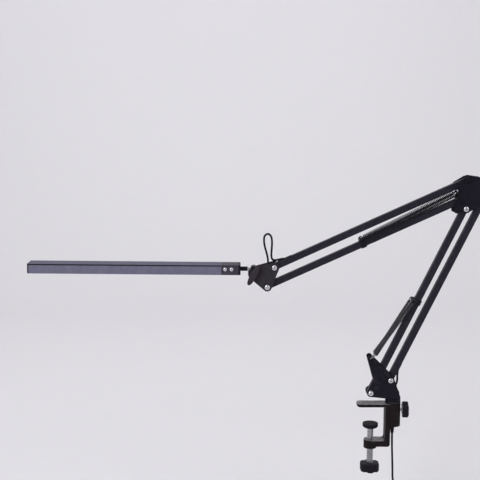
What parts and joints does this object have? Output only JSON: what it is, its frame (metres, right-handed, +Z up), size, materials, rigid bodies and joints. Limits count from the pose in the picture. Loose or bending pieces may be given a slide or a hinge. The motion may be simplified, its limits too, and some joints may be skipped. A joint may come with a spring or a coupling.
{
  "type": "clamp lamp",
  "caption": "Table-edge clamp lamp: a swivelling spring-balanced parallel-link arm of square tubes carries a long tilting light bar.",
  "frame": {"origin": "middle of the table face under the upper jaw, on the rubber pad's underside above the clamp screw", "axes": "+X from the jaw's tip towards the clamp's spine, +Y across the clamp away from the wing knob, +Z up"},
  "size_m": [0.6984, 0.0367, 0.5626],
  "materials": {
    "cast_black": "black powder coat on a casting",
    "painted_black": "satin black powder coat",
    "plastic_black": "fine moulded texture",
    "nylon_black": "plain moulded nylon",
    "rubber_black": "matt",
    "cord_black": "satin sheath",
    "spring_black": "blackened spring wire",
    "chrome": "bright plated",
    "steel": "plain zinc plated",
    "bar_grey": "dark grey anodised extrusion",
    "bar_dark": "darker anodised block",
    "diffuser_white": "milky",
    "board_white": "white solder mask",
    "led_yellow": "phosphor window"
  },
  "bodies": {
    "clamp": {"clamp_frame": "cast_black", "jaw_pad": "rubber_black", "post_bush": "nylon_black", "lead_relief": "rubber_black", "supply_lead": "cord_black", "lead_coil": "cord_black", "lead_tie": "plastic_black", "plug_body": "plastic_black", "plug_shell": "chrome"},
    "pad": {"clamp_foot": "painted_black", "foot_rubber": "rubber_black"},
    "screw": {"clamp_screw": "steel", "clamp_handle": "plastic_black"},
    "lock": {"lock_screw": "chrome", "lock_knob": "plastic_black"},
    "base": {"swivel_post": "painted_black", "post_washer": "nylon_black", "base_plate_near": "painted_black", "base_plate_far": "painted_black", "base_bolts": "chrome", "base_spacers": "nylon_black", "lower_spring_near": "spring_black", "lower_spring_far": "spring_black", "base_wire": "cord_black"},
    "front": {"front_tube": "painted_black", "lower_collar": "plastic_black"},
    "rear": {"rear_tube": "painted_black", "rear_wire": "cord_black", "rear_grommet": "rubber_black"},
    "elbow": {"elbow_plate_near": "painted_black", "elbow_plate_far": "painted_black", "elbow_bolts": "chrome", "elbow_black_bolts": "painted_black", "elbow_spacers": "nylon_black", "elbow_wire": "cord_black", "forearm_spring_near": "spring_black", "forearm_spring_far": "spring_black"},
    "upper": {"upper_tube": "painted_black", "upper_wire": "cord_black", "upper_grommet": "rubber_black"},
    "lower": {"lower_tube": "painted_black", "forearm_collar": "plastic_black"},
    "head": {"head_plate_near": "painted_black", "head_plate_far": "painted_black", "head_bolts": "chrome", "head_spacers": "nylon_black", "tilt_bolt": "steel", "head_wire": "cord_black"},
    "knob": {"wing_knob": "plastic_black"},
    "tilt": {"tilt_block": "plastic_black", "lamp_rod": "chrome"},
    "bar": {"stem": "plastic_black", "end_block": "bar_dark", "end_screws": "chrome", "bar_housing": "bar_grey", "end_cap": "plastic_black", "diffuser": "diffuser_white", "led_board": "board_white", "leds": "led_yellow"}
  },
  "joints": [
    {"name": "post_swivel", "type": "hinge", "parent": "clamp", "child": "base", "pos_m": [0.0342, 0, 0], "axis": [0, 0, 1], "range_deg": [-170, 170]},
    {"name": "lower_arm", "type": "hinge", "parent": "base", "child": "rear", "pos_m": [0.0287, 0, 0.043], "axis": [0, 1, 0], "range_deg": [-70, 11], "deforming": ["lower_spring_near", "lower_spring_far", "base_wire", "elbow_wire"]},
    {"name": "front_link", "type": "hinge", "parent": "base", "child": "front", "pos_m": [-0.0014, 0, 0.0227], "axis": [0, 1, 0], "range_deg": [-70, 11], "deforming": ["lower_spring_near", "lower_spring_far"]},
    {"name": "elbow_link", "type": "hinge", "parent": "rear", "child": "elbow", "pos_m": [0.16617, 0, 0.32864], "axis": [0, 1, 0], "range_deg": [-11, 70], "deforming": ["elbow_wire"]},
    {"name": "forearm", "type": "hinge", "parent": "elbow", "child": "upper", "pos_m": [0.13767, 0, 0.34984], "axis": [0, 1, 0], "range_deg": [-15, 95], "deforming": ["forearm_spring_near", "forearm_spring_far", "elbow_wire", "head_wire"]},
    {"name": "fore_link", "type": "hinge", "parent": "elbow", "child": "lower", "pos_m": [0.12707, 0, 0.32014], "axis": [0, 1, 0], "range_deg": [-15, 95], "deforming": ["forearm_spring_near", "forearm_spring_far"]},
    {"name": "head_link", "type": "hinge", "parent": "upper", "child": "head", "pos_m": [-0.15102, 0, 0.21889], "axis": [0, 1, 0], "range_deg": [-95, 15], "deforming": ["head_wire"]},
    {"name": "head_tilt", "type": "hinge", "parent": "head", "child": "tilt", "pos_m": [-0.18232, 0, 0.20919], "axis": [0, 1, 0], "range_deg": [-75, 75], "deforming": ["head_wire"]},
    {"name": "bar_roll", "type": "hinge", "parent": "tilt", "child": "bar", "pos_m": [-0.18226, 0, 0.21579], "axis": [1, 0, -0.0086], "range_deg": [-120, 120]},
    {"name": "wing_turn", "type": "hinge", "parent": "head", "child": "knob", "pos_m": [-0.18232, 0, 0.20919], "axis": [0, 1, 0], "range_deg": [-180, 180]},
    {"name": "lock_turn", "type": "hinge", "parent": "clamp", "child": "lock", "pos_m": [0.0342, 0, -0.0063], "axis": [1, 0, 0], "range_deg": [-180, 180]},
    {"name": "pad_slide", "type": "slide", "parent": "clamp", "child": "pad", "axis": [0, 0, 1], "range_m": [-0.016, 0.024]},
    {"name": "screw_turn", "type": "hinge", "parent": "pad", "child": "screw", "pos_m": [0, 0, -0.06], "axis": [0, 0, 1], "range_deg": [-1921, 2881]}
  ],
  "couplings": [
    {"joint": "front_link", "follows": "lower_arm", "ratio": 1},
    {"joint": "elbow_link", "follows": "lower_arm", "ratio": -1},
    {"joint": "fore_link", "follows": "forearm", "ratio": 1},
    {"joint": "head_link", "follows": "forearm", "ratio": -1},
    {"joint": "screw_turn", "follows": "pad_slide", "rad_per_m": 2094.4}
  ]
}
